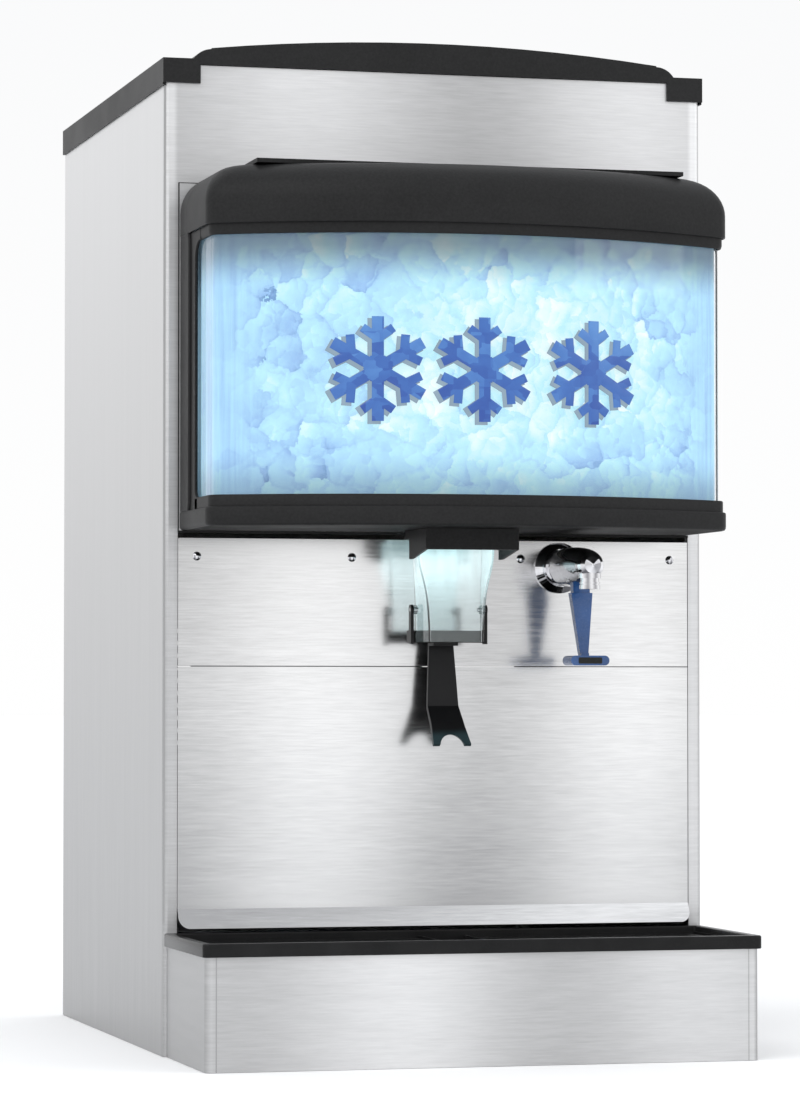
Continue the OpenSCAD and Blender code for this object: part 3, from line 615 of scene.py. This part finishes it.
def rrect(x0, y0, x1, y1, r, n=7, rb=None):
    """Rounded rectangle, counter-clockwise; rb is the radius of its two back corners."""
    rb = r if rb is None else rb
    pts = []
    for cx, cy, rr, a0 in ((x1 - rb, y1 - rb, rb, 0), (x0 + rb, y1 - rb, rb, 90),
                           (x0 + r, y0 + r, r, 180), (x1 - r, y0 + r, r, 270)):
        for i in range(n + 1):
            a = math.radians(a0 + 90 * i / n)
            pts.append((cx + rr * math.cos(a), cy + rr * math.sin(a)))
    return pts


def stack(bm, layers):
    """Lofts closed outlines, each (points, z), and caps both ends."""
    rings = [[bm.verts.new(pt(x, y, z)) for x, y in pts] for pts, z in layers]
    for a, b in zip(rings, rings[1:]):
        bridge(bm, a, b, True)
    bm.faces.new(rings[0])
    bm.faces.new(rings[-1])


def lathe(bm, profile, place, n=48):
    """Spins (radius, height) about an axis; place turns (a, b, height) into a point."""
    turn = [2 * math.pi * i / n for i in range(n)]
    rings = [[bm.verts.new(place(r * math.cos(t), r * math.sin(t), h)) for t in turn] for r, h in profile]
    for a, b in zip(rings, rings[1:]):
        bridge(bm, a, b, True)


# ------------------------------------------------------- display housing

# Hood: rolled edge that runs round the sides, the corners and the bow.
bm = bmesh.new()
ROLL, TOP = 38.0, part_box("display_hood")[1].z / MM
layers = [(1.2, 16.8, 810.0), (0.3, 17.7, 810.4), (0.0, 18.0, 811.4), (0.0, 18.0, 822.0)]
for i in range(13):
    f = math.radians(90 * i / 12)
    layers.append((ROLL * (1 - math.cos(f)), 18 + 20 * (i / 12) ** 1.5,
                   TOP - ROLL + ROLL * math.sin(f)))
rings = [[bm.verts.new(pt(x, y, z)) for x, y in outline(d, r, BACK)] for d, r, z in layers]
for a, b in zip(rings, rings[1:]):
    bridge(bm, a, b)
bm.faces.new(rings[-1])
hood = black_piece("hood_moulding", bm, ("display_hood",))
sol = hood.modifiers.new("wall", "SOLIDIFY")
sol.thickness = 3.0 * MM
sol.offset = -1.0

bm = bmesh.new()
swept(bm, [(3.4, 15.0, 811.0), (3.4, 15.0, 803.0), (4.2, 14.5, 800.2), (5.0, 14.0, 799.5),
           (6.2, 13.0, 799.6), (6.2, 13.0, 811.0)], WY)
black_piece("hood_lip", bm)

# Lower bezel: outer band, step, inner lip, shelf for the lens, and the floor with the throat's opening.
bm = bmesh.new()
swept(bm, [(4.0, 14.5, 519.0), (1.4, 16.9, 519.6), (0.3, 17.8, 521.2), (0.0, 18.0, 523.5),
           (0.0, 18.0, 535.6), (0.4, 17.6, 536.9), (1.6, 16.6, 537.5), (4.0, 14.5, 537.5)], BACK)
swept(bm, [(2.9, 15.2, 535.0), (2.9, 15.2, 547.6), (3.5, 14.8, 548.8), (4.6, 14.0, 549.0),
           (6.0, 13.0, 548.6), (6.0, 13.0, 541.0), (12.0, 10.0, 541.0), (12.0, 10.0, 538.0),
           (6.0, 13.0, 538.0), (6.0, 13.0, 535.0)], WY)
black_piece("bezel_moulding", bm, ("display_bezel",))

cu = bpy.data.curves.new("bezel_floor_outline", "CURVE")
cu.dimensions = "2D"
cu.fill_mode = "BOTH"
for loop in (outline(3.6, 14.9, -3.2), [(-42, -79), (-42, -45), (41, -45), (41, -79)]):
    s = cu.splines.new("POLY")
    s.points.add(len(loop) - 1)
    for p, (x, y) in zip(s.points, loop):
        p.co = (x * MM, YF + y * MM, 0, 1)
    s.use_cyclic_u = True
cu.extrude = 1.5 * MM
tmp = bpy.data.objects.new("tmp_floor", cu)
scene.collection.objects.link(tmp)
dg = bpy.context.evaluated_depsgraph_get()
me = bpy.data.meshes.new_from_object(tmp.evaluated_get(dg))
bpy.data.objects.remove(tmp)
for v in me.vertices:
    v.co.z += 520.5 * MM
me.materials.clear()
me.materials.append(M["underside"])
floor_plate = bpy.data.objects.new("bezel_floor", me)
scene.collection.objects.link(floor_plate)
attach(floor_plate, "cabinet")

# Lens and the lit print behind it, both wrapped round the corners.
for name, slot, node, (d0, r0), (d1, r1) in (
        ("lens_sheet", "lens", "display_lens", (6.4, 22.0), (9.4, 19.2)),
        ("ice_print_sheet", "graphic", "ice_graphic", (9.7, 18.9), (10.5, 18.2))):
    bm = bmesh.new()
    swept(bm, [(d0, r0, SHEET[0]), (d0, r0, SHEET[1]), (d1, r1, SHEET[1]), (d1, r1, SHEET[0])], WY - 2)
    new_piece(name, bm, "cabinet", M[slot], (node,), 50)

# Side posts, flush with hood and bezel, then stepped in round the window's rounded corners.
def corner_arc(z_edge, up, ry, rz):
    """Quarter of an ellipse from the window's side to its top or foot edge, as (y, z)."""
    turn = [math.radians(t) for t in range(0, 91, 10)]
    return [(WY - ry + ry * math.cos(t), z_edge + up * (rz - rz * math.sin(t))) for t in turn]


FOOT, HEAD = WINDOW
INNER = ([(-30, 811.0), (-84.0, 811.0), (-84.0, HEAD)] + corner_arc(HEAD, -1, 20.0, 17.0)[::-1] +
         corner_arc(FOOT, 1, 10.0, 9.0) + [(-72.0, FOOT), (-72.0, 536.0), (-30, 536.0)])
OUTER = [(BACK, 812.0), (-38.0, 812.0), (-41.0, 806.0), (-42.0, 798.0), (-42.0, 552.0), (-41.0, 544.0),
         (-38.0, 536.0), (BACK, 536.0)]
for side, tag in ((-1, "left"), (1, "right")):
    for name, pts, x0, x1, width in (("window_post", INNER, 258.4, 261.6, 1.2),
                                     ("side_post", OUTER, 258.5, 264.3, 2.2)):
        bm = bmesh.new()
        faces = [[bm.verts.new(pt(side * xx, y, z)) for y, z in pts] for xx in (x0, x1)]
        bridge(bm, faces[0], faces[1], True)
        bm.faces.new(faces[0])
        bm.faces.new(faces[1])
        stands_for = ("%s_side_trim" % tag,) if name == "side_post" else ()
        post = black_piece("%s_%s" % (name, tag), bm, stands_for, 30)
        soften(post, width, 3, 50)

soften(NODES["hood_cover"], 1.0)


# Ice-crystal emblems, pressed film with a soft edge, over a paler offset backing.
RIDGE = ((-1, 0.0, 0.0), (-1, 0.3, 0.6), (-1, None, 1.0), (0, 0.0, 1.12), (1, None, 1.0),
         (1, 0.3, 0.6), (1, 0.0, 0.0))      # side, distance from the edge (None: the soft edge), height


def polar(r, deg):
    return r * math.cos(math.radians(deg)), r * math.sin(math.radians(deg))


def emblem(name, cx, cz, r, depth, inset, grow, material):
    """Six-armed crystal wrapped on the bow: each bar is a shallow ridge with sloping sides."""
    bm = bmesh.new()
    bars = [(0, 0, 2 * r, 11.0, math.radians(a)) for a in (30, 90, 150)]
    for a in range(30, 390, 60):
        for b in (-55, 55):
            (ax, az), (bx, bz) = polar(0.58 * r, a), polar(0.18 * r, a + b)
            bars.append((ax + bx, az + bz, 0.36 * r, 8.0, math.radians(a + b)))
    hub = [polar(0.27 * r, 60 * k) for k in range(6)]

    def on_bow(x, z, d):
        R = BOW_R - inset + d
        a = x / (BOW_R - inset)
        return pt(R * math.sin(a), BOW_C - R * math.cos(a), z)

    for bx, bz, length, width, t in bars:
        c, s = math.cos(t), math.sin(t)
        hl, hw = length / 2 + grow, width / 2 + grow
        steps = max(2, int(hl / 2.5))
        soft = min(1.6, hw * 0.5)
        rows = []
        for i in range(steps + 1):
            u = -hl + 2 * hl * i / steps
            high = depth * (0.25 if i in (0, steps) else 1)
            row = []
            for edge, off, d in RIDGE:
                w = edge * (hw - (soft if off is None else off))
                x, z = bx + u * c - w * s, bz + u * s + w * c
                row.append(bm.verts.new(on_bow(cx + x, cz + z, d * high)))
            rows.append(row)
        for a, b in zip(rows, rows[1:]):
            bridge(bm, a, b)
            bm.faces.new((a[0], b[0], b[-1], a[-1]))
        bm.faces.new(rows[0])
        bm.faces.new(rows[-1])
    rings = [[bm.verts.new(on_bow(cx + x * k, cz + z * k, depth * d)) for x, z in hub]
             for k, d in ((1.06, 0.0), (1.0, 1.35), (0.72, 1.6))]
    for a, b in zip(rings, rings[1:]):
        bridge(bm, a, b, True)
    bm.faces.new(rings[2])
    bm.faces.new(rings[0])
    return new_piece(name, bm, "cabinet", material, (), 30)


shade = smooth_plastic("emblem_backing", (0.21, 0.29, 0.36), 0.4, 0.1)
for i, x in enumerate((-110, -6, 108)):
    emblem("emblem_back_%d" % (i + 1), x - 3.6, 666.6, 50.0, 0.25, 6.35, 0.9, shade)
    emblem("emblem_%d" % (i + 1), x, 669.0, 50.0, 0.55, 6.1, 0.3, M["emblem"])
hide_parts("ice_emblems")

# ------------------------------------------------------------- drip tray

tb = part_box("tray_pan")
X1, Y0, Y1 = tb[1].x / MM, (tb[0].y - YF) / MM, (tb[1].y - YF) / MM
Z0, Z1 = 108.8, tb[1].z / MM
bm = bmesh.new()
R = 6.5


def rim(d, r):
    """The tray's rim in plan, d inside its outer edge."""
    return rrect(-X1 + d, Y0 + d, X1 - d, Y1 - min(d, 8), max(r, 0.8), 7, max(0.8, min(r, 2.0)))


def basin(x, front, back, r, z):
    """One layer of the tray's basin, as stack() takes it."""
    return rrect(-x, Y0 + front, x, -back, r), z


stack(bm, [basin(262, 16, 10, 8, 76.4), basin(266, 13, 7, 9, 78.4), basin(268, 12, 6, 9, 82.0),
           basin(268, 12, 6, 9, Z0 + 1), (rim(1.0, R), Z0 + 0.6), (rim(0.35, R), Z0 + 0.0),
           (rim(0.0, R), Z0 + 0.9), (rim(0.0, R), Z1 - 1.5), (rim(0.4, R), Z1 - 0.45),
           (rim(1.5, R - 1), Z1), (rim(7.6, 4.0), Z1), (rim(8.7, 4.0), Z1 - 0.4),
           (rim(9.2, 4.0), Z1 - 1.6), (rim(9.8, 4.0), 110.6), (rim(10.4, 4.0), 109.5),
           basin(264, 15.5, 9.5, 9, 109.3), basin(263.4, 16, 10, 9, 108.4), basin(261, 18, 12, 9, 86.0),
           basin(257, 22, 16, 9, 80.2), basin(250, 29, 23, 9, 79.2),
           (rrect(-40, -100, 40, -90, 4), 78.7)])
new_piece("tray_moulding", bm, "cabinet", M["black_gloss"], ("tray_pan",), 50)
bm = bmesh.new()
lathe(bm, [(7.0, 79.6), (9.5, 79.6), (11.5, 79.2), (11.5, 78.9), (9.5, 76.2), (9.5, 52.6), (9.0, 52.0),
           (7.5, 52.0), (7.0, 52.6), (7.0, 79.6)], lambda a, b, h: pt(a, -95 + b, h))
new_piece("tray_drain_spout", bm, "cabinet", M["black_gloss"], (), 50)
for n in ("left_cup_rest", "right_cup_rest"):
    soften(NODES[n], 0.7, 2)

for n, w in (("hopper_lid", 1.0), ("ice_shroud", 0.8), ("ice_lever", 1.0), ("tap_lever", 1.2),
             ("tap_pad", 1.0), ("tap_nozzle", 0.5), ("tap_collar", 0.6), ("rear_screws", 0.4),
             ("control_box", 0.6)):
    soften(NODES[n], w)

# ---------------------------------------------------------------- ice chute


HALF = ((409, 28.2), (430, 28.7), (449, 30.1), (467, 33.2), (477, 36.4), (490, 39.4), (516, 40.4))
CHUTE = (409, 516)                          # foot and top of the chute
FRONT_Y, REAR_Y = -78, -44                  # front and rear walls of the chute


def chute_half(z):
    """Half width of the chute's front wall at height z."""
    for (a, wa), (b, wb) in zip(HALF, HALF[1:]):
        if z <= b:
            return wa + (wb - wa) * max(0.0, (z - a) / (b - a))
    return HALF[-1][1]


def soft_half(z):
    return sum(chute_half(z + d) for d in (-9, -6, -3, 0, 3, 6, 9)) / 7 if z < 505 else chute_half(z)


def trapezoid(w, rear, inset, r=3.2, n=5):
    """Plan of the chute: w and rear are the half widths of its front and rear walls."""
    pts = [(-w + inset, FRONT_Y + inset), (w - inset, FRONT_Y + inset), (rear - inset, REAR_Y - inset),
           (-rear + inset, REAR_Y - inset)]
    out = []
    rr = max(0.8, r - inset)
    for i, p in enumerate(pts):
        a, b = Vector(pts[i - 1]), Vector(pts[(i + 1) % 4])
        c = Vector(p)
        u, v = (a - c).normalized(), (b - c).normalized()
        t = rr / math.tan(u.angle(v) / 2)
        s, e = c + u * t, c + v * t
        for k in range(n + 1):
            f = k / n
            q = s * (1 - f) ** 2 + c * 2 * f * (1 - f) + e * f * f
            out.append((q.x - 1.0, q.y))
    return out


def rear_half(z):
    return 35 + (4 * max(0, (z - 455) / 61)) * 0.5


bm = bmesh.new()
zs = [CHUTE[0] + (CHUTE[1] - CHUTE[0]) * i / 26 for i in range(27)]
outer = [(trapezoid(soft_half(z), rear_half(z), 0.0), z) for z in zs]
inner = [(trapezoid(soft_half(z), rear_half(z), 2.2), z) for z in reversed(zs)]
rings = [[bm.verts.new(pt(x, y, z)) for x, y in pts] for pts, z in outer + inner]
for i, r in enumerate(rings):
    bridge(bm, r, rings[(i + 1) % len(rings)], True)
new_piece("chute_moulding", bm, "cabinet", M["clear"], ("ice_chute",), 40)
for k, (x0, x1) in enumerate(((-38.2, -34.2), (30.2, 34.2))):
    bm = bmesh.new()
    lathe(bm, [(2.0, x0), (3.9, x0), (4.4, x0 + 0.5), (4.4, x1 - 0.5), (3.9, x1), (2.0, x1), (2.0, x0)],
          lambda a, b, h: pt(h, -50 + a, 441 + b), 32)
    new_piece("chute_boss_%d" % (k + 1), bm, "cabinet", M["clear"], (), 40)

# ------------------------------------------------------- smooth shading of CAD

for n in ("tap_body", "tap_shank", "tap_nozzle", "lamp_tube", "splash_screws", "gearmotor",
          "front_frame", "tray_body", "agitator_shaft", "agitator_arms", "water_inlet", "hopper_lid",
          "bin_drain_tube"):
    smooth_by_angle(NODES[n].data, 32)

# ------------------------------------------------------------ stage and light

FLOOR_GAP = 0.0003                          # the floor lies just under the feet
CAMERA = (-1.10148, -4.20182, 0.35794)
CAMERA_TILT, CAMERA_TURN = 91.99, -14.82    # degrees
CAMERA_LENS = 135.71                        # mm, on a sensor 36 mm wide
KEY_POWER, FILL_POWER, SKY_POWER = 34, 12, 0.9

floor = bpy.data.meshes.new("floor")
bm = bmesh.new()
bm.faces.new([bm.verts.new(v) for v in ((-30, -30, 0), (30, -30, 0), (30, 60, 0), (-30, 60, 0))])
bm.to_mesh(floor)
bm.free()
fo = bpy.data.objects.new("floor", floor)
scene.collection.objects.link(fo)
fo.location.z = CAD_BOX[0][2] - FLOOR_GAP
fm = Mat("pale_floor", Roughness=0.9)
fm.b.inputs["Specular IOR Level"].default_value = 0.0
fm.put(fm.b.inputs["Base Color"], fm.ramp(fm.noise(1.5, 2.0, 0.5), (0.2, (0.93, 0.93, 0.93)),
                                          (0.8, (0.96, 0.96, 0.96))))
floor.materials.append(fm.m)

w = bpy.data.worlds.new("studio")
scene.world = w
w.use_nodes = True
nt = w.node_tree
bg = nt.nodes["Background"]
tc = nt.nodes.new("ShaderNodeTexCoord")
sep = nt.nodes.new("ShaderNodeSeparateXYZ")
nt.links.new(tc.outputs["Generated"], sep.inputs[0])
rm = nt.nodes.new("ShaderNodeValToRGB")
nt.links.new(sep.outputs[2], rm.inputs[0])
rm.color_ramp.elements[0].position = 0.0
rm.color_ramp.elements[0].color = (1.0, 1.0, 1.0, 1)
rm.color_ramp.elements[1].position = 0.75
rm.color_ramp.elements[1].color = (0.80, 0.82, 0.85, 1)
nt.links.new(rm.outputs[0], bg.inputs["Color"])
bg.inputs["Strength"].default_value = 1.0


def area(name, loc, target, size, size_y, power):
    li = bpy.data.lights.new(name, "AREA")
    li.shape = "RECTANGLE"
    li.size, li.size_y, li.energy = size, size_y, power
    o = bpy.data.objects.new(name, li)
    scene.collection.objects.link(o)
    o.location = loc
    o.rotation_euler = (Vector(target) - Vector(loc)).to_track_quat("-Z", "Y").to_euler()


area("key", (-2.2, -2.6, 3.2), (0, 0, 0.4), 2.4, 2.4, KEY_POWER)
area("fill", (2.6, -2.2, 2.0), (0, 0, 0.5), 2.0, 2.0, FILL_POWER)
sun = bpy.data.lights.new("sky_light", "SUN")
sun.energy, sun.angle = SKY_POWER, math.radians(120)
so = bpy.data.objects.new("sky_light", sun)
scene.collection.objects.link(so)
so.rotation_euler = (math.radians(8), math.radians(-10), 0)

cam = bpy.data.cameras.new("camera")
co = bpy.data.objects.new("camera", cam)
scene.collection.objects.link(co)
co.location = CAMERA
co.rotation_euler = (math.radians(CAMERA_TILT), 0, math.radians(CAMERA_TURN))
cam.lens = CAMERA_LENS
cam.sensor_width = 36
cam.sensor_fit = "AUTO"
cam.clip_start, cam.clip_end = 0.05, 200
scene.camera = co
scene.view_settings.view_transform = "Standard"
scene.view_settings.look = "None"
